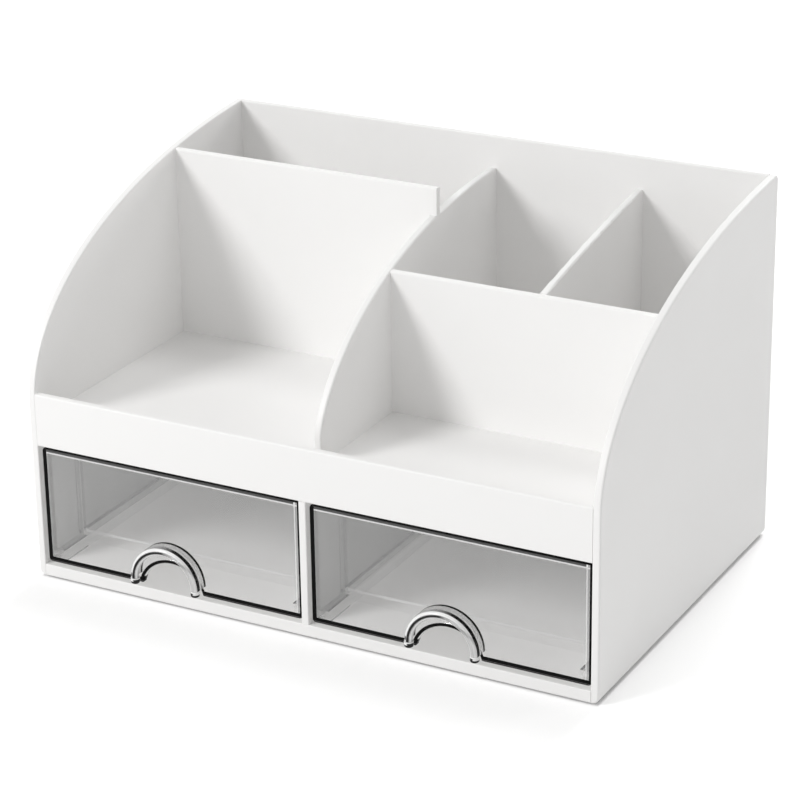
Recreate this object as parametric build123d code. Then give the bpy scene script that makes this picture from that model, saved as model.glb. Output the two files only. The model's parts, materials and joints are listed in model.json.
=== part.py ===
from build123d import *
import os

# Desktop drawer organizer: a white panel body with open compartments above two clear drawers.
# Millimetres. +Z is up, the front faces -Y and +X is to the right. The feet stand on z = 0 and
# the origin is in the middle of the bounding box's bottom.

# Body
body_width = 250.0
body_depth = 168.0
body_height = 158.0
side_thickness = 3.2
back_thickness = 3.2
base_thickness = 5.2
band_thickness = 3.2
band_height = 22.3
shelf_thickness = 3.0
shelf_drop = 11.3
opening_height = 52.3
post_thickness = 3.2

# Arched tops: how far below the band's top the side's curve leaves its upright front edge, and the
# shares of each curve's rise and run that place its two inner control points
side_arch_drop = 3.0
side_arch_shares = (0.38, 0.256, 0.921)
divider_arch_shares = (0.176, 0.208, 0.985)

# Compartment walls, measured from the front plane, the middle plane, the shelf and the top
divider_thickness = 3.2
divider_setback = 13.2
divider_upright = 10.0
divider_drop = 13.8
partition_thickness = 3.0
rear_partition_setback = 110.5
rear_partition_height = 82.0
front_partition_setback = 70.8
front_partition_height = 59.9
pen_divider_offset = 66.4
pen_divider_bulge = 0.95

# Rounded edges
edge_round = 0.8
inner_round = 0.5
bottom_round = 2.8
corner_round = 2.0

# Stub tongues that join the panels, and how far each stops short of its panel's ends
tongue_depth = 1.0
tongue_thickness = 1.2
tongue_margin = 5.0

# Rubber feet
foot_radius = 6.0
foot_proud = 0.8
foot_seat = 1.0
foot_seat_clearance = 0.1
foot_inset = 17.0
foot_round = 0.4

# Drawer front plate and its finger notch
fascia_thickness = 3.0
fascia_recess = 1.6
fascia_side_gap = 0.6
fascia_low_gap = 0.8
fascia_top_gap = 1.2
fascia_corner = 1.5
fascia_round = 0.8
notch_radius = 14.4
notch_height = 11.0
notch_corner = 0.6

# Arched pull over the notch
pull_radius = 14.0
pull_projection = 7.2
pull_spring_height = 4.9
bead_radius = 1.65
hood_thickness = 1.6
cap_radius = 1.85
cap_height = 2.6
cap_round = 0.9
cap_collar_round = 0.2

# Drawer tray on two skids, with arms to the front plate
finger_room = 16.7
tray_side_gap = 0.6
tray_rear_gap = 2.6
tray_wall = 2.2
tray_wall_height = 43.9
tray_floor = 2.4
tray_floor_round = 0.6
tray_corner = 3.0
tray_inner_corner = 0.8
wing_drop = 1.4
skid_width = 6.0
skid_height = 2.6
slide_gap = 0.3
tenon_width = 3.0
tenon_height = 2.0
tenon_depth = 1.4
tenon_margin = 0.4

# Stop lugs on the tray's rear wall and the stop bar under the shelf
drawer_travel = 112.0
lug_width = 14.0
lug_offset = 30.0
lug_headroom = 1.2
stop_gap = 0.3
stop_thickness = 3.0
stop_height = 4.0
stop_length = 90.0

# Planes and levels worked out from the sizes above
pull_reach = pull_projection - fascia_recess
front = (pull_reach - body_depth) / 2
back = front + body_depth
side_outer = body_width / 2
side_inner = side_outer - side_thickness
back_inner = back - back_thickness
band_inner = front + band_thickness
bottom = foot_proud
base_top = bottom + base_thickness
band_low = base_top + opening_height
band_top = band_low + band_height
shelf_top = band_top - shelf_drop
shelf_low = shelf_top - shelf_thickness
post_side = post_thickness / 2
divider_side = divider_thickness / 2
divider_front = front + divider_setback
divider_top = body_height - divider_drop
rear_partition_front = front + rear_partition_setback
rear_partition_back = rear_partition_front + partition_thickness
rear_partition_top = shelf_top + rear_partition_height
front_partition_front = front + front_partition_setback
front_partition_back = front_partition_front + partition_thickness
front_partition_top = shelf_top + front_partition_height
foot_column = side_outer - foot_inset
foot_rows = {"front": front + foot_inset, "rear": back - foot_inset}

bay_middle = (side_inner + post_side) / 2
bay_width = side_inner - post_side
fascia_front = front + fascia_recess
fascia_rear = fascia_front + fascia_thickness
fascia_low = base_top + fascia_low_gap
fascia_height = opening_height - fascia_low_gap - fascia_top_gap
fascia_width = bay_width - 2 * fascia_side_gap
tray_width = bay_width - 2 * tray_side_gap
tray_front = fascia_rear + finger_room
tray_rear = back_inner - tray_rear_gap
skid_low = base_top + slide_gap
floor_low = skid_low + skid_height
floor_top = floor_low + tray_floor
tray_top = floor_low + tray_wall_height
wing_top = fascia_low + fascia_height - wing_drop
wing_rear = tray_front + tray_corner
lug_front = tray_rear - tray_wall
lug_top = shelf_low - lug_headroom
stop_rear = lug_front - drawer_travel - stop_gap
stop_front = stop_rear - stop_thickness

sides = {"left": -1, "right": 1}


def slab(x, y, z):
    """Box between the low and high value on each axis."""
    size = [high - low for low, high in (x, y, z)]
    middle = [(high + low) / 2 for low, high in (x, y, z)]
    return Pos(*middle) * Box(*size)


def centred(low, high, size):
    """Stretch of this size in the middle between two values."""
    middle = (low + high) / 2
    return (middle - size / 2, middle + size / 2)


def mirrored(low, high, side):
    """Stretch on the right of the middle plane, or its mirror image on the left."""
    return (low, high) if side > 0 else (-high, -low)


def arch(front_y, start, rear_y, rear_z, shares):
    """Curve from an upright front edge to a nearly level rear end, drawn in the side plane."""
    upright_share, run_share, crown_share = shares
    run = rear_y - front_y
    rise = rear_z - start
    return Bezier(
        (front_y, start),
        (front_y, start + upright_share * rise),
        (front_y + run_share * run, start + crown_share * rise),
        (rear_y, rear_z),
    )


def side_profile(top_edge, low):
    """Face in the side plane between a top edge and a level foot."""
    start = top_edge @ 0
    end = top_edge @ 1
    return make_face([top_edge, Polyline((end.X, end.Y), (end.X, low), (start.X, low), (start.X, start.Y))])


def upright(profile, x):
    """Panel with a side-plane profile, between two values of x."""
    low, high = x
    return extrude(Plane.YZ.offset(low) * profile, high - low)


def standing_disc(radius, height):
    return Cylinder(radius, height, align=(Align.CENTER, Align.CENTER, Align.MIN))


def edges_along_x(panel):
    return panel.edges().filter_by(Axis.X)


# White panels


def right_side_panel():
    top = arch(front, band_top - side_arch_drop, back, body_height, side_arch_shares)
    profile = side_profile(top, bottom)
    profile = fillet(profile.vertices().sort_by(Axis.Y)[-1], corner_round)
    panel = upright(profile, (side_inner, side_outer))
    panel = fillet(panel.faces().sort_by(Axis.X)[-1].edges().sort_by(Axis.Z)[0], bottom_round)
    panel = fillet(panel.faces().sort_by(Axis.X)[-1].edges().sort_by(Axis.Z)[1:], edge_round)
    return fillet(panel.faces().sort_by(Axis.X)[0].edges().sort_by(Axis.Z)[1:], inner_round)


def back_panel():
    panel = slab((-side_inner, side_inner), (back_inner, back), (bottom, body_height))
    panel = fillet(edges_along_x(panel).group_by(Axis.Y)[-1].sort_by(Axis.Z)[-1], corner_round)
    panel = fillet(edges_along_x(panel).group_by(Axis.Y)[0].sort_by(Axis.Z)[-1], edge_round)
    return fillet(edges_along_x(panel).group_by(Axis.Z)[0].sort_by(Axis.Y)[-1], edge_round)


def base_panel():
    panel = slab((-side_inner, side_inner), (front, back_inner), (bottom, base_top))
    panel = fillet(edges_along_x(panel).group_by(Axis.Z)[0].sort_by(Axis.Y)[0], edge_round)
    panel = fillet(edges_along_x(panel).group_by(Axis.Z)[-1].sort_by(Axis.Y)[0], inner_round)
    seat = standing_disc(foot_radius + foot_seat_clearance, foot_seat)
    for y in foot_rows.values():
        for side in sides.values():
            panel -= Pos(side * foot_column, y, bottom) * seat
    return panel


def shelf_panel():
    return slab((-side_inner, side_inner), (band_inner, back_inner), (shelf_low, shelf_top))


def front_band():
    panel = slab((-side_inner, side_inner), (front, band_inner), (band_low, band_top))
    panel = fillet(edges_along_x(panel).group_by(Axis.Z)[-1], edge_round)
    return fillet(edges_along_x(panel).group_by(Axis.Z)[0].sort_by(Axis.Y)[0], inner_round)


def drawer_partition():
    x = (-post_side, post_side)
    post = slab(x, (front, band_inner), (base_top, band_low))
    post = fillet(post.edges().filter_by(Axis.Z).group_by(Axis.Y)[0], inner_round)
    return post + slab(x, (band_inner, back_inner), (base_top, shelf_low))


def divider_blank():
    """Long divider before its top edges are rounded."""
    top = arch(divider_front, shelf_top + divider_upright, back_inner, divider_top, divider_arch_shares)
    return upright(side_profile(top, shelf_top), (-divider_side, divider_side))


def long_divider():
    panel = divider_blank()
    for face_index in (0, -1):
        panel = fillet(panel.faces().sort_by(Axis.X)[face_index].edges().sort_by(Axis.Z)[-1], edge_round)
    return panel


def pen_divider():
    start = (front_partition_back, front_partition_top)
    top = SagittaArc(start, (back_inner, divider_top), pen_divider_bulge)
    x = (pen_divider_offset - divider_side, pen_divider_offset + divider_side)
    panel = upright(side_profile(top, shelf_top), x)
    for face_index in (0, -1):
        panel = fillet(panel.faces().sort_by(Axis.X)[face_index].edges().sort_by(Axis.Z)[-1], edge_round)
    return panel


def cross_partition(x, y, top):
    """Cross wall that stands on the shelf, with a rounded top."""
    panel = slab(x, y, (shelf_top, top))
    return fillet(edges_along_x(panel).group_by(Axis.Z)[-1], edge_round)


def drawer_stop(side):
    x = centred(side * bay_middle, side * bay_middle, stop_length)
    return slab(x, (stop_front, stop_rear), (shelf_low - stop_height, shelf_low))


# Rubber feet


def foot():
    pad = standing_disc(foot_radius, foot_proud + foot_seat)
    return fillet(pad.edges().group_by(Axis.Z)[0], foot_round)


# Clear drawers


def tenon(side, hand):
    """Stub on the end of a tray's arm, which seats in the front plate."""
    arm = mirrored(tray_width / 2 - skid_width, tray_width / 2, hand)
    x = centred(side * bay_middle + arm[0], side * bay_middle + arm[1], tenon_width)
    z = (floor_top - tenon_margin - tenon_height, floor_top - tenon_margin)
    return slab(x, (fascia_rear - tenon_depth, fascia_rear), z)


def drawer_fascia(side):
    notch_middle = notch_height - notch_radius - fascia_height / 2
    face = RectangleRounded(fascia_width, fascia_height, fascia_corner)
    face -= Pos(0, notch_middle) * Circle(notch_radius)
    notch_ends = face.vertices().group_by(Axis.Y)[0].sort_by(lambda vertex: abs(vertex.X))[:2]
    face = fillet(notch_ends, notch_corner)
    middle = Vector(side * bay_middle, fascia_rear, fascia_low + fascia_height / 2)
    plate = extrude(Plane(middle, x_dir=(1, 0, 0), z_dir=(0, -1, 0)) * face, fascia_thickness)
    for face_index in (0, -1):
        plate = fillet(plate.faces().sort_by(Axis.Y)[face_index].edges(), fascia_round)
    for hand in sides.values():
        plate -= tenon(side, hand)
    return plate


def pull_cap():
    """Rounded end of the pull's bead."""
    cap = standing_disc(cap_radius, cap_height)
    cap = fillet(cap.edges().group_by(Axis.Z)[0], cap_round)
    return fillet(cap.edges().group_by(Axis.Z)[-1], cap_collar_round)


def drawer_pull(side):
    """Half round bead with capped ends, and the hood that joins it to the front plate."""
    bead_y = fascia_front - pull_projection + cap_radius
    spring = Vector(side * bay_middle, bead_y, fascia_low + pull_spring_height)
    bead_plane = Plane(spring, x_dir=(1, 0, 0), z_dir=(0, -1, 0))
    path = bead_plane * ThreePointArc((-pull_radius, 0), (0, pull_radius), (pull_radius, 0))
    pull = sweep(Plane(path @ 0, z_dir=path % 0) * Circle(bead_radius), path)
    hood_radius = pull_radius + bead_radius
    ring = Circle(hood_radius) - Circle(hood_radius - hood_thickness)
    ring &= Pos(0, hood_radius / 2) * Rectangle(2 * hood_radius, hood_radius)
    pull += extrude(bead_plane * ring, bead_y - fascia_front)
    for hand in sides.values():
        pull += Pos(spring.X + hand * pull_radius, bead_y, spring.Z - cap_height) * pull_cap()
    return pull


def drawer_tray(side):
    middle = side * bay_middle
    plan = Pos(middle, (tray_front + tray_rear) / 2)
    outer = plan * RectangleRounded(tray_width, tray_rear - tray_front, tray_corner)
    inner_size = (tray_width - 2 * tray_wall, tray_rear - tray_front - 2 * tray_wall)
    inner = plan * RectangleRounded(*inner_size, tray_inner_corner)
    tray = extrude(Pos(0, 0, floor_low) * outer, tray_wall_height)
    tray -= extrude(Pos(0, 0, floor_top) * inner, tray_wall_height)
    inner_floor = tray.faces().sort_by(Axis.Z)[1]
    tray = fillet(inner_floor.edges(), tray_floor_round)
    for hand in sides.values():
        low, high = mirrored(tray_width / 2 - skid_width, tray_width / 2, hand)
        arm_x = (middle + low, middle + high)
        tray += slab(arm_x, (tray_front, tray_rear), (skid_low, floor_low))
        tray += slab(arm_x, (fascia_rear, wing_rear), (skid_low, floor_top))
        low, high = mirrored(tray_width / 2 - tray_wall, tray_width / 2, hand)
        wing_edge = Line((fascia_rear, wing_top), (wing_rear, tray_top))
        tray += upright(side_profile(wing_edge, floor_low), (middle + low, middle + high))
        tray += tenon(side, hand)
        lug_middle = middle + hand * lug_offset
        tray += slab(centred(lug_middle, lug_middle, lug_width), (lug_front, tray_rear), (tray_top, lug_top))
    return tray


# Joinery: each tongue belongs to the first panel and its groove is cut in the second


def tongues():
    def inset(low, high):
        return (low + tongue_margin, high - tongue_margin)

    def web(low, high):
        return centred(low, high, tongue_thickness)

    base_z = web(bottom, base_top)
    shelf_z = web(shelf_low, shelf_top)
    band_y = web(front, band_inner)
    back_y = web(back_inner, back)
    rear_partition_y = web(rear_partition_front, rear_partition_back)
    front_partition_y = web(front_partition_front, front_partition_back)
    middle_x = web(0, 0)
    pen_divider_x = web(pen_divider_offset, pen_divider_offset)
    body_x = inset(-side_inner, side_inner)
    rear_partition_x = inset(-side_inner, -divider_side)
    front_partition_x = inset(divider_side, side_inner)
    shelf_y = inset(band_inner, back_inner)

    into_back = (back_inner, back_inner + tongue_depth)
    into_band = (band_inner - tongue_depth, band_inner)
    into_base = (base_top - tongue_depth, base_top)
    into_shelf = (shelf_top - tongue_depth, shelf_top)
    under_shelf = (shelf_low, shelf_low + tongue_depth)
    into_left = (-side_inner - tongue_depth, -side_inner)
    into_right = (side_inner, side_inner + tongue_depth)
    into_divider_left = (-divider_side, -divider_side + tongue_depth)
    into_divider_right = (divider_side - tongue_depth, divider_side)
    into_front_partition = (front_partition_back - tongue_depth, front_partition_back)

    wall_z = inset(shelf_top, front_partition_top)
    tall_wall_z = inset(shelf_top, rear_partition_top)
    divider_z = inset(shelf_top, divider_top)
    pen_divider_y = inset(front_partition_back, back_inner)

    yield "base_panel", "back_panel", slab(body_x, into_back, base_z)
    yield "shelf_panel", "back_panel", slab(body_x, into_back, shelf_z)
    yield "shelf_panel", "front_band", slab(body_x, into_band, shelf_z)
    for panel, into in (("left_side_panel", into_left), ("right_side_panel", into_right)):
        yield "base_panel", panel, slab(into, inset(front, back_inner), base_z)
        yield "shelf_panel", panel, slab(into, shelf_y, shelf_z)
        yield "front_band", panel, slab(into, band_y, inset(band_low, band_top))
        yield "back_panel", panel, slab(into, back_y, inset(bottom, body_height))
    yield "drawer_partition", "base_panel", slab(middle_x, inset(front, back_inner), into_base)
    yield "drawer_partition", "shelf_panel", slab(middle_x, shelf_y, under_shelf)
    yield "drawer_partition", "back_panel", slab(middle_x, into_back, inset(base_top, shelf_low))
    yield "long_divider", "shelf_panel", slab(middle_x, inset(divider_front, back_inner), into_shelf)
    yield "long_divider", "back_panel", slab(middle_x, into_back, divider_z)
    yield "rear_partition", "shelf_panel", slab(rear_partition_x, rear_partition_y, into_shelf)
    yield "rear_partition", "left_side_panel", slab(into_left, rear_partition_y, tall_wall_z)
    yield "rear_partition", "long_divider", slab(into_divider_left, rear_partition_y, wall_z)
    yield "front_partition", "shelf_panel", slab(front_partition_x, front_partition_y, into_shelf)
    yield "front_partition", "right_side_panel", slab(into_right, front_partition_y, wall_z)
    yield "front_partition", "long_divider", slab(into_divider_right, front_partition_y, wall_z)
    yield "pen_divider", "shelf_panel", slab(pen_divider_x, pen_divider_y, into_shelf)
    yield "pen_divider", "back_panel", slab(pen_divider_x, into_back, divider_z)
    yield "pen_divider", "front_partition", slab(pen_divider_x, into_front_partition, wall_z)
    for name, side in sides.items():
        stop_x = inset(*centred(side * bay_middle, side * bay_middle, stop_length))
        stop_y = web(stop_front, stop_rear)
        yield f"{name}_drawer_stop", "shelf_panel", slab(stop_x, stop_y, under_shelf)


# All pieces

pieces = {
    "right_side_panel": right_side_panel(),
    "back_panel": back_panel(),
    "base_panel": base_panel(),
    "shelf_panel": shelf_panel(),
    "front_band": front_band(),
    "drawer_partition": drawer_partition(),
    "long_divider": long_divider(),
    "pen_divider": pen_divider(),
}
pieces["left_side_panel"] = mirror(pieces["right_side_panel"], about=Plane.YZ)
# The rear partition's top laps over the long divider and ends flush with its right face
pieces["rear_partition"] = cross_partition(
    (-side_inner, divider_side), (rear_partition_front, rear_partition_back), rear_partition_top
) - divider_blank()
pieces["front_partition"] = cross_partition(
    (divider_side, side_inner), (front_partition_front, front_partition_back), front_partition_top
)
for name, side in sides.items():
    pieces[f"{name}_drawer_stop"] = drawer_stop(side)
    pieces[f"{name}_drawer_fascia"] = drawer_fascia(side)
    pieces[f"{name}_drawer_pull"] = drawer_pull(side)
    pieces[f"{name}_drawer_tray"] = drawer_tray(side)
    for row, y in foot_rows.items():
        pieces[f"{row}_{name}_foot"] = Pos(side * foot_column, y, 0) * foot()

for owner, neighbour, tongue in tongues():
    pieces[owner] += tongue
    pieces[neighbour] -= tongue

os.makedirs("parts", exist_ok=True)
for node, piece in pieces.items():
    export_step(piece, f"parts/{node}.step")
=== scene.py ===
import functools
import json
import math

import bpy
from mathutils import Matrix, Vector


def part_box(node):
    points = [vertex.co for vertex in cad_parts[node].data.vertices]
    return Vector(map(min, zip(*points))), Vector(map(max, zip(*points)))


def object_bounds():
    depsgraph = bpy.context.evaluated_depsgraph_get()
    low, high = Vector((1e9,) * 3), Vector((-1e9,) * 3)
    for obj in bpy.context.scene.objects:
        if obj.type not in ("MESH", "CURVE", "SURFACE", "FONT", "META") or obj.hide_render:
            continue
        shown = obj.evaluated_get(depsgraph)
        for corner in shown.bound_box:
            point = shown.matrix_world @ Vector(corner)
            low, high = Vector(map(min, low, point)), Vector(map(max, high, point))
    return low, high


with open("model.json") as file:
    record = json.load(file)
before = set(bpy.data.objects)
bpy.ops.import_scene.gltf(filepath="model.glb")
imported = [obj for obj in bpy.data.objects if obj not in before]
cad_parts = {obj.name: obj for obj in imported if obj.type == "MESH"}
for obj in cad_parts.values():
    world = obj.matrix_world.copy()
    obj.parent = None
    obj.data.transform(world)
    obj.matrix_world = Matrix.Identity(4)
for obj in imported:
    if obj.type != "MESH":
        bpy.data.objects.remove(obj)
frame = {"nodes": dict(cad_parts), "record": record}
cad_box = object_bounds()
scene = bpy.context.scene

# Camera: in front, to the right and above

CAMERA_PLACE = (0.5103, -0.9428, 0.5139)
CAMERA_YAW = math.radians(28.45)
CAMERA_DIP = math.radians(22.48)
CAMERA_ROLL = math.radians(-0.88)
SENSOR = 36.0
LENS = 129.5


def add_camera():
    data = bpy.data.cameras.new("camera")
    data.sensor_width = SENSOR
    data.lens = LENS
    camera = bpy.data.objects.new("camera", data)
    turn = (
        Matrix.Rotation(CAMERA_YAW, 4, "Z")
        @ Matrix.Rotation(math.pi / 2 - CAMERA_DIP, 4, "X")
        @ Matrix.Rotation(CAMERA_ROLL, 4, "Z")
    )
    camera.matrix_world = Matrix.Translation(CAMERA_PLACE) @ turn
    scene.collection.objects.link(camera)
    scene.camera = camera


# Light: a pale surround, a large lamp at the front left and three behind

SURROUND = 0.49
SURROUND_COLOUR = (1.0, 0.998, 0.992, 1.0)
BACKDROP = 1.0
LAMP_TARGET = Vector((0.0, 0.0, 0.08))
LAMP_REACH = 2.2
LAMP_SIZE = 0.7

# Degrees to the left of the front, degrees above the ground, and watts
LAMPS = {
    "key": (35.0, 30.0, 23.6),
    "back": (180.0, 30.0, 14.0),
    "side": (-130.0, 15.0, 5.0),
    "top": (180.0, 68.0, 7.0),
}


def add_world():
    """Surround that lights the object softly and shows as a white backdrop."""
    world = bpy.data.worlds.new("surround")
    world.use_nodes = True
    nodes = world.node_tree.nodes
    links = world.node_tree.links
    background = nodes["Background"]
    background.inputs["Color"].default_value = SURROUND_COLOUR
    path = nodes.new("ShaderNodeLightPath")
    seen = path.outputs["Is Camera Ray"]
    for ray in ("Is Glossy Ray", "Is Transmission Ray"):
        either = nodes.new("ShaderNodeMath")
        either.operation = "MAXIMUM"
        links.new(seen, either.inputs[0])
        links.new(path.outputs[ray], either.inputs[1])
        seen = either.outputs[0]
    strength = nodes.new("ShaderNodeMapRange")
    strength.inputs["To Min"].default_value = SURROUND
    strength.inputs["To Max"].default_value = BACKDROP
    links.new(seen, strength.inputs["Value"])
    links.new(strength.outputs["Result"], background.inputs["Strength"])
    scene.world = world


def add_lamp(name, left_of_front, height, power):
    """Round lamp that faces the object, from two angles in degrees."""
    turn, rise = math.radians(left_of_front), math.radians(height)
    away = Vector((-math.sin(turn) * math.cos(rise), -math.cos(turn) * math.cos(rise), math.sin(rise)))
    data = bpy.data.lights.new(name, "AREA")
    data.shape = "DISK"
    data.size = LAMP_SIZE
    data.energy = power
    lamp = bpy.data.objects.new(name, data)
    facing = away.to_track_quat("Z", "Y").to_matrix().to_4x4()
    lamp.matrix_world = Matrix.Translation(LAMP_TARGET + LAMP_REACH * away) @ facing
    scene.collection.objects.link(lamp)


# Materials. Lengths and places are in metres. A pair of numbers is where a mask starts and ends.

SHARP = 0.00005
SOFT = 0.0001
NOISE_SPAN = (0.3, 0.7)

# Places on the solids
BAY_MIDDLE = 0.0617
NOTCH_MIDDLE = 0.0034
NOTCH_RADIUS = 0.0144
PULL_SPRING = 0.0117
TRAY_FRONT = -0.0599
TRAY_FLOOR = 0.0113
ARM_INSIDE = 0.0535


class Shader:
    """A material's node tree with short ways to add and join nodes."""

    def __init__(self, name):
        self.material = bpy.data.materials.new(name)
        self.material.use_nodes = True
        self.nodes = self.material.node_tree.nodes
        self.links = self.material.node_tree.links
        self.surface = self.nodes["Principled BSDF"]
        self.output = self.nodes["Material Output"]

    def node(self, kind, **sockets):
        made = self.nodes.new(kind)
        for name, value in sockets.items():
            self.put(made.inputs[name.replace("_", " ")], value)
        return made

    def put(self, socket, value):
        if isinstance(value, bpy.types.NodeSocket):
            self.links.new(value, socket)
        else:
            socket.default_value = value

    def set(self, name, value):
        """Set or link an input of the plastic's own surface."""
        self.put(self.surface.inputs[name], value)

    def place(self):
        return self.node("ShaderNodeTexCoord").outputs["Object"]

    def axes(self, output):
        """The three parts of a coordinate: where a point is (Object) or the way it faces (Normal)."""
        parts = self.node("ShaderNodeSeparateXYZ", Vector=self.node("ShaderNodeTexCoord").outputs[output])
        return [parts.outputs[axis] for axis in "XYZ"]

    def math(self, operation, *values):
        made = self.nodes.new("ShaderNodeMath")
        made.operation = operation
        for socket, value in zip(made.inputs, values):
            self.put(socket, value)
        return made.outputs[0]

    def over_all(self, operation, values):
        return functools.reduce(lambda first, second: self.math(operation, first, second), values)

    def most(self, *values):
        return self.over_all("MAXIMUM", values)

    def least(self, *values):
        return self.over_all("MINIMUM", values)

    def times(self, *values):
        return self.over_all("MULTIPLY", values)

    def minus(self, first, second):
        return self.math("SUBTRACT", first, second)

    def size_of(self, value):
        return self.math("ABSOLUTE", value)

    def length(self, first, second):
        squares = [self.times(value, value) for value in (first, second)]
        return self.math("SQRT", self.math("ADD", *squares))

    def off_middle(self, x):
        """How far to the right of its own drawer's middle a point is."""
        return self.minus(x, self.times(self.math("SIGN", x), BAY_MIDDLE))

    def noise(self, scale, detail):
        return self.node("ShaderNodeTexNoise", Vector=self.place(), Scale=scale, Detail=detail).outputs["Fac"]

    def ramp(self, value, low, high, to_low=0.0, to_high=1.0):
        """Straight ramp from one value to another, level outside its two ends."""
        made = self.node("ShaderNodeMapRange", Value=value)
        for name, number in (("From Min", low), ("From Max", high), ("To Min", to_low), ("To Max", to_high)):
            made.inputs[name].default_value = number
        return made.outputs["Result"]

    def share(self, value, none, full):
        """Ramp from one share to another as a value between 0 and 1 grows."""
        return self.ramp(value, 0.0, 1.0, none, full)

    def without(self, value):
        return self.share(value, 1.0, 0.0)

    def uneven(self, noise, low, high):
        """Values that wander between two limits with a noise."""
        return self.ramp(noise, *NOISE_SPAN, low, high)

    def within(self, value, limit):
        """1 below a limit and 0 above it."""
        return self.ramp(value, limit - SHARP, limit + SHARP, 1.0, 0.0)

    def window(self, value, span, start=0.0, soft=SOFT):
        """1 between two values, counted from a start, and 0 outside them, with soft shoulders."""
        low, high = (start + end for end in span)
        rise = self.ramp(value, low - soft, low + soft)
        fall = self.ramp(value, high - soft, high + soft, 1.0, 0.0)
        return self.times(rise, fall)

    def blend(self, share, first, second):
        made = self.node("ShaderNodeMix")
        made.data_type = "RGBA"
        self.put(made.inputs["Factor"], share)
        self.put(made.inputs["A"], first)
        self.put(made.inputs["B"], second)
        return made.outputs["Result"]

    def bump(self, height, strength, distance):
        made = self.node("ShaderNodeBump", Height=height, Strength=strength, Distance=distance)
        return made.outputs["Normal"]

    def layer(self, share, under, over):
        made = self.nodes.new("ShaderNodeMixShader")
        for socket, value in zip(made.inputs, (share, under, over)):
            self.put(socket, value)
        return made.outputs[0]

    def show(self, surface):
        self.links.new(surface, self.output.inputs["Surface"])
        return self.material


WARM_GREEN_SHARE = 0.4


def grey(value, warmth=0.0):
    return (value, value * (1.0 - WARM_GREEN_SHARE * warmth), value * (1.0 - warmth), 1.0)


# White plastic
WHITE_TONES = (grey(0.885, 0.014), grey(0.905, 0.012))
WHITE_DRIFT_SCALE = 9.0
WHITE_DRIFT_DETAIL = 3.0
WHITE_ROUGHNESS = (0.42, 0.52)
WHITE_GLOSS_SCALE = 40.0
WHITE_GLOSS_DETAIL = 4.0
WHITE_IOR = 1.46
GRAIN_SCALE = 2600.0
GRAIN_DETAIL = 2.0
GRAIN_STRENGTH = 0.08
GRAIN_HEIGHT = 0.0001


def white_plastic():
    """Satin white moulded plastic: a faint grain, a slow drift of tone and uneven gloss."""
    shader = Shader("white_plastic")
    drift = shader.noise(WHITE_DRIFT_SCALE, WHITE_DRIFT_DETAIL)
    shader.set("Base Color", shader.blend(drift, *WHITE_TONES))
    gloss = shader.noise(WHITE_GLOSS_SCALE, WHITE_GLOSS_DETAIL)
    shader.set("Roughness", shader.uneven(gloss, *WHITE_ROUGHNESS))
    grain = shader.noise(GRAIN_SCALE, GRAIN_DETAIL)
    shader.set("Normal", shader.bump(grain, GRAIN_STRENGTH, GRAIN_HEIGHT))
    shader.surface.inputs["IOR"].default_value = WHITE_IOR
    return shader.material


# Clear plastic
CLEAR_DETAIL = 3.0
TINT_DETAIL = 2.0
SKIN_SCALE = 60.0
SKIN_ROUGHNESS = (0.01, 0.04)
FACING_BLEND = 0.5
GRAZING_POWER = 5.0
GRAZING_MIRROR_SHARE = 0.7
SHADE_SHARE = 0.05


def clear_sheet(shader, solid, tint, polish):
    """Clear tinted plastic that lets light in, with a polished skin, solid in places on its outer faces."""
    path = shader.node("ShaderNodeLightPath").outputs
    lights = shader.most(path["Is Shadow Ray"], path["Is Diffuse Ray"], path["Is Glossy Ray"])
    tint = shader.blend(lights, tint, grey(1.0))
    through = shader.node("ShaderNodeBsdfTransparent", Color=tint).outputs[0]
    skin = shader.node("ShaderNodeBsdfGlossy")
    gloss = shader.noise(SKIN_SCALE, CLEAR_DETAIL)
    shader.put(skin.inputs["Roughness"], shader.uneven(gloss, *SKIN_ROUGHNESS))
    facing = shader.node("ShaderNodeLayerWeight", Blend=FACING_BLEND).outputs["Facing"]
    grazing = shader.math("POWER", facing, GRAZING_POWER)
    mirrored = shader.times(shader.share(grazing, polish, GRAZING_MIRROR_SHARE), shader.without(lights))
    outer = shader.without(shader.node("ShaderNodeNewGeometry").outputs["Backfacing"])
    seen = shader.times(outer, shader.share(lights, 1.0, SHADE_SHARE))
    clear = shader.layer(mirrored, through, skin.outputs[0])
    return shader.show(shader.layer(shader.times(solid, seen), clear, shader.surface.outputs[0]))


# Front plate: how far its edge lines reach in from its outline, and their tones. These are painted light:
# painted shade in black along the edges, a painted grey shade strip under the top, a painted lit strip on the
# right and painted highlight lines above and on the right
RIM_LEFT = 0.0022
RIM_BOTTOM = 0.0025
RIM_NOTCH = 0.0017
RIM_RIGHT = 0.0009
RIM_TOP = 0.0005
TOP_SHADE_REACH = 0.0014
TOP_HIGHLIGHT_REACH = 0.0021
RIGHT_LIT_REACH = 0.0018
RIGHT_HIGHLIGHT_REACH = 0.0024
BOTTOM_GREY_LINE = (0.0007, 0.0010)
SIDE_REACH = 0.0012
HOOK_REACH = 0.0008
HOOK_TOP = 0.0100
FACES_FRONT = (-0.8, -0.9)
TURNS_AWAY = (0.98, 0.95)
LEFT_OVER = (0.4, 0.6)
# Tones of the painted shade, the painted lit strip and the painted highlights
EDGE_SHADE_TONE = grey(0.004)
GREY_SHADE_TONE = grey(0.09)
RIGHT_LIT_TONE = grey(0.4)
HIGHLIGHT_TONE = grey(0.88)
RIGHT_LIT_SHARE = 0.6
HIGHLIGHT_SHARE = 0.65
PLATE_TINTS = (grey(0.985), grey(0.995))
PLATE_TINT_SCALE = 14.0
PLATE_ROUGHNESS = (0.08, 0.2)
PLATE_GLOSS_SCALE = 90.0
PLATE_SPECULAR = 0.05
PLATE_POLISH = 0.125


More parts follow.
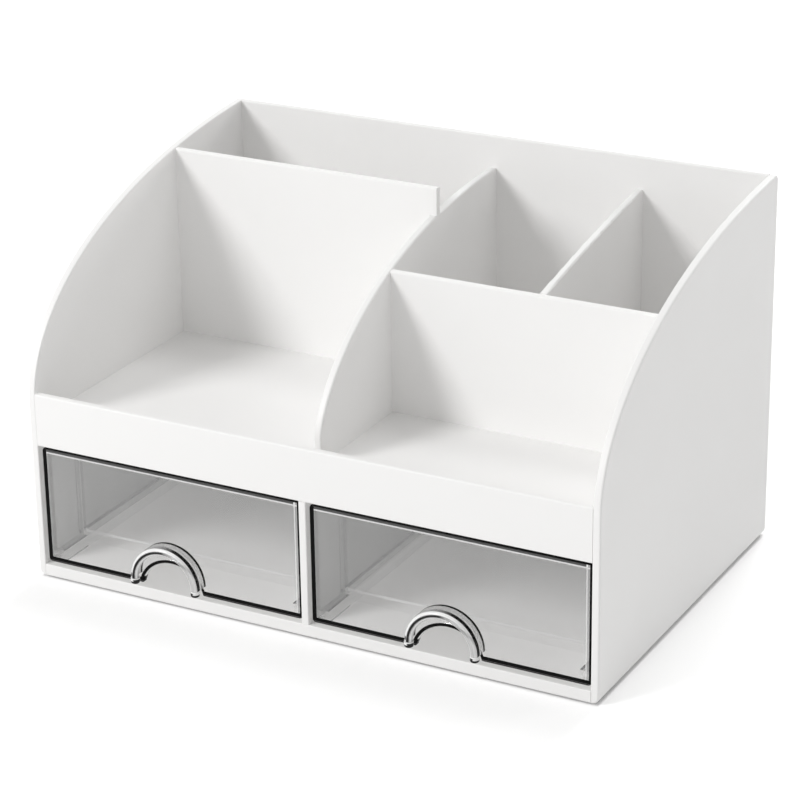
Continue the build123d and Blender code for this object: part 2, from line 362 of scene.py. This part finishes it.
def drawer_front():
    """Clear plate with painted light on its edges: painted shade in black below and on the left, painted grey
    shade and painted highlights above and on the right.
    """
    shader = Shader("drawer_front")
    low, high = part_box("right_drawer_fascia")
    deep = shader.axes("Normal")[1]
    x, _, z = shader.axes("Object")
    across = shader.off_middle(x)
    half = (high[0] - low[0]) / 2
    left = shader.math("ADD", across, half)
    right = shader.minus(half, across)
    bottom = shader.minus(z, low[2])
    top = shader.minus(high[2], z)
    notch = shader.minus(shader.length(across, shader.minus(z, NOTCH_MIDDLE)), NOTCH_RADIUS)
    front = shader.ramp(deep, *FACES_FRONT)
    rounded = shader.ramp(shader.size_of(deep), *TURNS_AWAY)

    # Painted shade: black along the edges, wide on the left, at the bottom and round the notch, thin on the
    # right and top
    black = shader.most(
        shader.within(left, RIM_LEFT), shader.within(bottom, RIM_BOTTOM), shader.within(notch, RIM_NOTCH),
        shader.within(right, RIM_RIGHT), shader.within(top, RIM_TOP),
    )
    plain = shader.ramp(black, *LEFT_OVER, 1.0, 0.0)
    # Painted shade: a dark grey strip under the top edge. Painted light: a paler grey strip inside the right
    # edge
    top_shade = shader.times(plain, shader.window(top, (RIM_TOP, TOP_SHADE_REACH)))
    right_lit = shader.times(plain, shader.window(right, (RIM_RIGHT, RIGHT_LIT_REACH)))
    # Painted highlights: light lines inside the top and right edges
    top_highlight = shader.window(top, (TOP_SHADE_REACH, TOP_HIGHLIGHT_REACH))
    right_highlight = shader.window(right, (RIGHT_LIT_REACH, RIGHT_HIGHLIGHT_REACH))
    lines = shader.times(shader.most(top_highlight, right_highlight), plain)
    # Painted shade: the plate's edge faces, and the notch's inner face low down, are painted black
    outline = shader.least(left, right, bottom, top)
    hook_shade = shader.times(shader.within(notch, HOOK_REACH), shader.within(z, HOOK_TOP))
    edge_face_shade = shader.times(shader.most(shader.within(outline, SIDE_REACH), hook_shade), rounded)
    # Painted shade: a dark grey line inside the painted black along the bottom
    bottom_grey_line = shader.window(bottom, BOTTOM_GREY_LINE)

    tone = shader.blend(shader.most(top_shade, bottom_grey_line), EDGE_SHADE_TONE, GREY_SHADE_TONE)
    tone = shader.blend(right_lit, tone, RIGHT_LIT_TONE)
    shader.set("Base Color", shader.blend(lines, tone, HIGHLIGHT_TONE))
    gloss = shader.noise(PLATE_GLOSS_SCALE, CLEAR_DETAIL)
    shader.set("Roughness", shader.uneven(gloss, *PLATE_ROUGHNESS))
    shader.surface.inputs["Specular IOR Level"].default_value = PLATE_SPECULAR
    painted = shader.most(
        black, top_shade, shader.times(right_lit, RIGHT_LIT_SHARE), shader.times(lines, HIGHLIGHT_SHARE)
    )
    solid = shader.most(edge_face_shade, shader.times(front, painted))
    tint = shader.blend(shader.noise(PLATE_TINT_SCALE, TINT_DETAIL), *PLATE_TINTS)
    return clear_sheet(shader, solid, tint, PLATE_POLISH)


# Tray: where its painted highlights (pale edges) and painted shade (dark lines) lie, how solid they are, and
# its tints, with the side walls tinted darker towards the back as painted shade
FACES_AXIS = (0.8, 0.95)
STANDS_UPRIGHT = (0.5, 0.3)
WALL_INSIDE = (0.0553, 0.0558)
BEHIND_FRONT = (TRAY_FRONT - 0.0002, TRAY_FRONT)
RIM_LEVEL = (0.0500, 0.0505)
FRONT_EDGE_LEVEL = (-0.0003, 0.0006)
FRONT_EDGE_DEPTH = (0.0022, 0.0050)
WALL_FOOT = (0.0566, 0.0580)
SIDE_EDGE_LEVEL = (0.0001, 0.0016)
CORNER_DEPTHS = ((-0.0008, 0.0), (0.0022, 0.0030))
CORNER_FOOT = (TRAY_FLOOR, TRAY_FLOOR + 0.0005)
ARM_LEVEL = (0.0110, 0.0116)
ARM_EDGE = ARM_INSIDE + 0.0010
ARM_FOOT = 0.0069
SKID_INSIDE = (ARM_INSIDE - 0.0002, ARM_INSIDE)
EDGE_SHARE = 0.9
CORNER_SHADE_SHARE = 0.45
ARM_SHADE_SHARE = 0.55
ARM_FOOT_SHADE_SHARE = 0.6
# Tones of the painted shade lines and the painted highlights
TRAY_SHADE_TONE = grey(0.03)
TRAY_HIGHLIGHT_TONE = grey(0.9)
TRAY_TINTS = (grey(0.985), grey(0.995))
TRAY_TINT_SCALE = 11.0
SKID_TINT = grey(0.9)
WALL_SHADE_TINTS = (grey(0.68), grey(0.44))
WALL_SHADE_DEPTH = (TRAY_FRONT, TRAY_FRONT + 0.1)
TRAY_ROUGHNESS = (0.1, 0.25)
TRAY_GLOSS_SCALE = 90.0
TRAY_POLISH = 0.02


def drawer_tray():
    """Clear tray with painted shade: walls tinted darker to the back and dark lines in corners; painted
    highlights on rims and front floor edge.
    """
    shader = Shader("drawer_tray")
    facing_x, _, facing_z = (shader.size_of(part) for part in shader.axes("Normal"))
    x, y, z = shader.axes("Object")
    across = shader.size_of(shader.off_middle(x))
    side = shader.ramp(facing_x, *FACES_AXIS)
    flat = shader.ramp(facing_z, *FACES_AXIS)
    wall = shader.times(shader.ramp(facing_z, *STANDS_UPRIGHT), shader.ramp(across, *WALL_INSIDE))
    behind = shader.ramp(y, *BEHIND_FRONT)
    ahead = shader.without(behind)

    # Painted highlights: the wall tops and a line along the front floor edge
    rim = shader.times(flat, shader.ramp(z, *RIM_LEVEL))
    front_edge_highlight = shader.times(
        shader.window(z, FRONT_EDGE_LEVEL, TRAY_FLOOR), shader.window(y, FRONT_EDGE_DEPTH, TRAY_FRONT)
    )
    # Painted shade: dark lines at the wall feet, at the front corners, and on the arms in front of the tray
    wall_foot_shade = shader.times(
        shader.window(z, SIDE_EDGE_LEVEL, TRAY_FLOOR), shader.times(shader.window(across, WALL_FOOT), behind)
    )
    corners = shader.most(*(shader.window(y, depth, TRAY_FRONT) for depth in CORNER_DEPTHS))
    corners = shader.times(corners, wall, shader.ramp(z, *CORNER_FOOT))
    arm_shade = shader.times(flat, ahead, shader.window(z, ARM_LEVEL))
    arm_edge_shade = shader.times(arm_shade, shader.within(across, ARM_EDGE))
    arm_foot_shade = shader.times(side, ahead, shader.within(z, ARM_FOOT))

    pale = shader.most(rim, front_edge_highlight)
    shader.set("Base Color", shader.blend(pale, TRAY_SHADE_TONE, TRAY_HIGHLIGHT_TONE))
    gloss = shader.noise(TRAY_GLOSS_SCALE, CLEAR_DETAIL)
    shader.set("Roughness", shader.uneven(gloss, *TRAY_ROUGHNESS))
    solid = shader.most(
        shader.times(pale, EDGE_SHARE), shader.times(wall_foot_shade, EDGE_SHARE),
        shader.times(corners, CORNER_SHADE_SHARE), shader.times(arm_shade, ARM_SHADE_SHARE), arm_edge_shade,
        shader.times(arm_foot_shade, ARM_FOOT_SHADE_SHARE),
    )
    tint = shader.blend(shader.noise(TRAY_TINT_SCALE, TINT_DETAIL), *TRAY_TINTS)
    skids = shader.times(flat, shader.ramp(across, *SKID_INSIDE))
    tint = shader.blend(skids, tint, SKID_TINT)
    # Painted shade: the side walls tinted darker, and darker still towards the back
    wall_shade = shader.blend(shader.ramp(y, *WALL_SHADE_DEPTH), *WALL_SHADE_TINTS)
    return clear_sheet(shader, solid, shader.blend(wall, tint, wall_shade), TRAY_POLISH)


# Pull. Outward is 1 where its face points away from the arch's middle and -1 where it points there. Turn
# goes from -1 at the left foot to 1 at the right foot.
# Where the pull's painted highlights and painted shade lie
FACES_AHEAD = (0.05, -0.05)
ABOVE_SPRING = (-0.0001, 0.0001)
LEFTWARD = (0.4, 0.0)
RIGHTWARD = (0.1, 0.6)
STREAK_OUTWARD = (0.3, 0.93)
INNER_RIM_OUTWARD = (-0.93, -0.55)
RIM_SOFT = 0.06
STREAK_FADE_TURN = (0.3, 0.7)
STREAK_END_SHARE = 0.6
INNER_DARK_OUTWARD = (-0.42, 0.22)
INNER_DARK_SOFT = 0.08
HIDDEN_OUTWARD = -0.5
HIDDEN_DEPTH = (-0.0834, -0.0825)
JOINT_DEPTH = (-0.0811, -0.0808)
SHOULDER_OUTWARD = (0.8, 0.92)
SHOULDER_DEPTH = (-0.0857, -0.0839)
SHOULDER_FADE_TURN = (-0.4, 0.3)
SHOULDER_START_SHARE = 0.4
GLINT_DEPTH = (-0.0840, -0.0830)
LEFT_FOOT_TURN = (0.1, -0.1)
RIGHT_FOOT_TURN = (-0.1, 0.1)
LEFT_FOOT_FACING = (-0.1, 0.2)
RIGHT_FOOT_FACING = (0.2, -0.1)
SOLE_TOP = 0.0104
FOOT_TOP = 0.0112
SPOT_RISE = (0.0008, 0.0024)
SPOT_SOFT = 0.0003
SPOT_FACING = (-0.2, -0.4)
SPOT_TURN = -0.9
PULL_TONE = grey(0.55)
PULL_HIGHLIGHT_TONE = grey(0.92)
PULL_SHADE_TONE = grey(0.006)
PULL_HIGHLIGHT_SHARE = 0.9
PULL_AHEAD_SHARE = 0.6
PULL_LEAST_SHARE = 0.4
PULL_TINTS = (grey(0.95), grey(0.98))
PULL_TINT_SCALE = 30.0
PULL_ROUGHNESS = (0.05, 0.12)
PULL_GLOSS_SCALE = 120.0
PULL_SPECULAR = 0.25
PULL_POLISH = 0.06


def drawer_pull():
    """Clear bead and hood in mid grey with painted light: a painted highlight between painted shade lines
    along the arch, and capped feet painted dark on one side.
    """
    shader = Shader("drawer_pull")
    facing_x, facing_y, facing_z = shader.axes("Normal")
    x, y, z = shader.axes("Object")
    across = shader.off_middle(x)
    rise = shader.minus(z, PULL_SPRING)
    reach = shader.length(across, rise)
    turn = shader.math("DIVIDE", across, reach)
    upward = shader.times(facing_z, shader.math("DIVIDE", rise, reach))
    outward = shader.math("ADD", shader.times(facing_x, turn), upward)
    ahead = shader.ramp(facing_y, *FACES_AHEAD)
    arch = shader.ramp(rise, *ABOVE_SPRING)
    leftward = shader.ramp(turn, *LEFTWARD)
    rightward = shader.ramp(turn, *RIGHTWARD)

    # Painted highlights: a light line along the outer arch, the inner rim and a glint
    streak_highlight = shader.times(shader.window(outward, STREAK_OUTWARD, soft=RIM_SOFT), ahead)
    streak_highlight = shader.times(streak_highlight, shader.ramp(turn, *STREAK_FADE_TURN, 1.0, STREAK_END_SHARE))
    inner_rim_highlight = shader.times(shader.window(outward, INNER_RIM_OUTWARD, soft=RIM_SOFT), ahead)
    # Painted shade: dark lines inside the arch, on the hood's back inner face and along the bead's outer
    # front, beside a dark joint where the pull meets the plate
    inner_shade = shader.window(outward, INNER_DARK_OUTWARD, soft=INNER_DARK_SOFT)
    inner_shade = shader.times(inner_shade, ahead, leftward)
    hidden_face_shade = shader.times(shader.within(outward, HIDDEN_OUTWARD), shader.window(y, HIDDEN_DEPTH), leftward)
    joint = shader.ramp(y, *JOINT_DEPTH)
    shoulder_shade = shader.times(shader.ramp(outward, *SHOULDER_OUTWARD), shader.window(y, SHOULDER_DEPTH))
    shoulder_shade = shader.times(shoulder_shade, shader.ramp(turn, *SHOULDER_FADE_TURN, SHOULDER_START_SHARE, 1.0))
    glint = shader.times(shader.window(y, GLINT_DEPTH), rightward)
    # Painted shade: the feet dark on one side and below, and a dark dot above the left one
    left_foot_shade = shader.times(shader.ramp(turn, *LEFT_FOOT_TURN), shader.ramp(facing_x, *LEFT_FOOT_FACING))
    right_foot_shade = shader.times(shader.ramp(turn, *RIGHT_FOOT_TURN), shader.ramp(facing_x, *RIGHT_FOOT_FACING))
    foot_shade = shader.most(left_foot_shade, right_foot_shade, shader.within(z, SOLE_TOP))
    foot_shade = shader.times(foot_shade, shader.within(z, FOOT_TOP))
    spot_shade = shader.times(shader.window(rise, SPOT_RISE, soft=SPOT_SOFT), shader.ramp(facing_x, *SPOT_FACING))
    spot_shade = shader.times(spot_shade, shader.times(ahead, shader.within(turn, SPOT_TURN)))
    # Painted highlight: the caps light wherever they are not painted dark
    cap_highlight = shader.within(z, PULL_SPRING)

    dark = shader.times(arch, shader.most(inner_shade, hidden_face_shade, joint, shoulder_shade))
    dark = shader.most(dark, foot_shade, spot_shade)
    pale = shader.most(shader.times(arch, shader.most(streak_highlight, inner_rim_highlight, glint)), cap_highlight)
    tone = shader.blend(pale, PULL_TONE, PULL_HIGHLIGHT_TONE)
    shader.set("Base Color", shader.blend(dark, tone, PULL_SHADE_TONE))
    gloss = shader.noise(PULL_GLOSS_SCALE, CLEAR_DETAIL)
    shader.set("Roughness", shader.uneven(gloss, *PULL_ROUGHNESS))
    shader.surface.inputs["Specular IOR Level"].default_value = PULL_SPECULAR
    solid = shader.most(
        dark, shader.times(pale, PULL_HIGHLIGHT_SHARE), shader.times(ahead, PULL_AHEAD_SHARE), PULL_LEAST_SHARE
    )
    tint = shader.blend(shader.noise(PULL_TINT_SCALE, TINT_DETAIL), *PULL_TINTS)
    return clear_sheet(shader, solid, tint, PULL_POLISH)


# Rubber
RUBBER_TONES = (grey(0.62), grey(0.72))
RUBBER_ROUGHNESS = (0.75, 0.9)
MOTTLE_SCALE = 500.0
MOTTLE_DETAIL = 4.0
PIT_SCALE = 1800.0
PIT_DETAIL = 3.0
PIT_STRENGTH = 0.3
PIT_DEPTH = 0.0002


def rubber():
    """Pale grey rubber with a matt, pitted face."""
    shader = Shader("rubber")
    mottle = shader.noise(MOTTLE_SCALE, MOTTLE_DETAIL)
    shader.set("Base Color", shader.blend(mottle, *RUBBER_TONES))
    shader.set("Roughness", shader.uneven(mottle, *RUBBER_ROUGHNESS))
    shader.set("Normal", shader.bump(shader.noise(PIT_SCALE, PIT_DETAIL), PIT_STRENGTH, PIT_DEPTH))
    return shader.material


def dress():
    """Give each node its material, by the end of its name for the clear pieces and by its slot otherwise."""
    looks = {
        "white_plastic": white_plastic(),
        "rubber": rubber(),
        "drawer_fascia": drawer_front(),
        "drawer_tray": drawer_tray(),
        "drawer_pull": drawer_pull(),
    }
    for part in frame["record"]["subparts"]:
        piece = part["node"].partition("_")[2]
        node = frame["nodes"][part["node"]]
        node.data.materials.clear()
        node.data.materials.append(looks.get(piece) or looks[part["material_slot"]])


# Floor

FLOOR_REACH = 6.0
FLOOR_TONE = grey(0.86)
FLOOR_ROUGHNESS = 0.9
FLOOR_GLOW = grey(1.0)
NEAR_GLOW = 0.3
FADE = (1.0, 2.5)
PULL_REACH = 0.0056
FOOTPRINT_EDGE = (0.0, 0.001)


def add_floor():
    """Pale ground that keeps the object's shadow and fades into the white backdrop."""
    mesh = bpy.data.meshes.new("floor")
    corners = [(x * FLOOR_REACH, y * FLOOR_REACH, 0.0) for x, y in ((-1, -1), (1, -1), (1, 1), (-1, 1))]
    mesh.from_pydata(corners, [], [(0, 1, 2, 3)])
    floor = bpy.data.objects.new("floor", mesh)
    scene.collection.objects.link(floor)
    shader = Shader("floor")
    shader.set("Base Color", FLOOR_TONE)
    shader.set("Roughness", FLOOR_ROUGHNESS)
    shader.set("Emission Color", FLOOR_GLOW)
    path = shader.node("ShaderNodeLightPath").outputs
    seen = shader.most(path["Is Camera Ray"], path["Is Glossy Ray"], path["Is Transmission Ray"])
    x, y, _ = shader.axes("Object")
    low, high = cad_box
    past = shader.least(
        shader.minus(x, low[0]), shader.minus(high[0], x),
        shader.minus(y, low[1] + PULL_REACH), shader.minus(high[1], y),
    )
    seen = shader.times(seen, shader.ramp(past, *FOOTPRINT_EDGE, 1.0, 0.0))
    glow = shader.ramp(shader.length(x, y), *FADE, NEAR_GLOW, 1.0)
    shader.set("Emission Strength", shader.times(seen, glow))
    mesh.materials.append(shader.material)


CLEAR_BOUNCES = 32
DIFFUSE_BOUNCES = 5

add_camera()
add_world()
for name, setting in LAMPS.items():
    add_lamp(name, *setting)
add_floor()
dress()
scene.view_settings.view_transform = "Standard"
scene.cycles.transparent_max_bounces = CLEAR_BOUNCES
scene.cycles.diffuse_bounces = DIFFUSE_BOUNCES
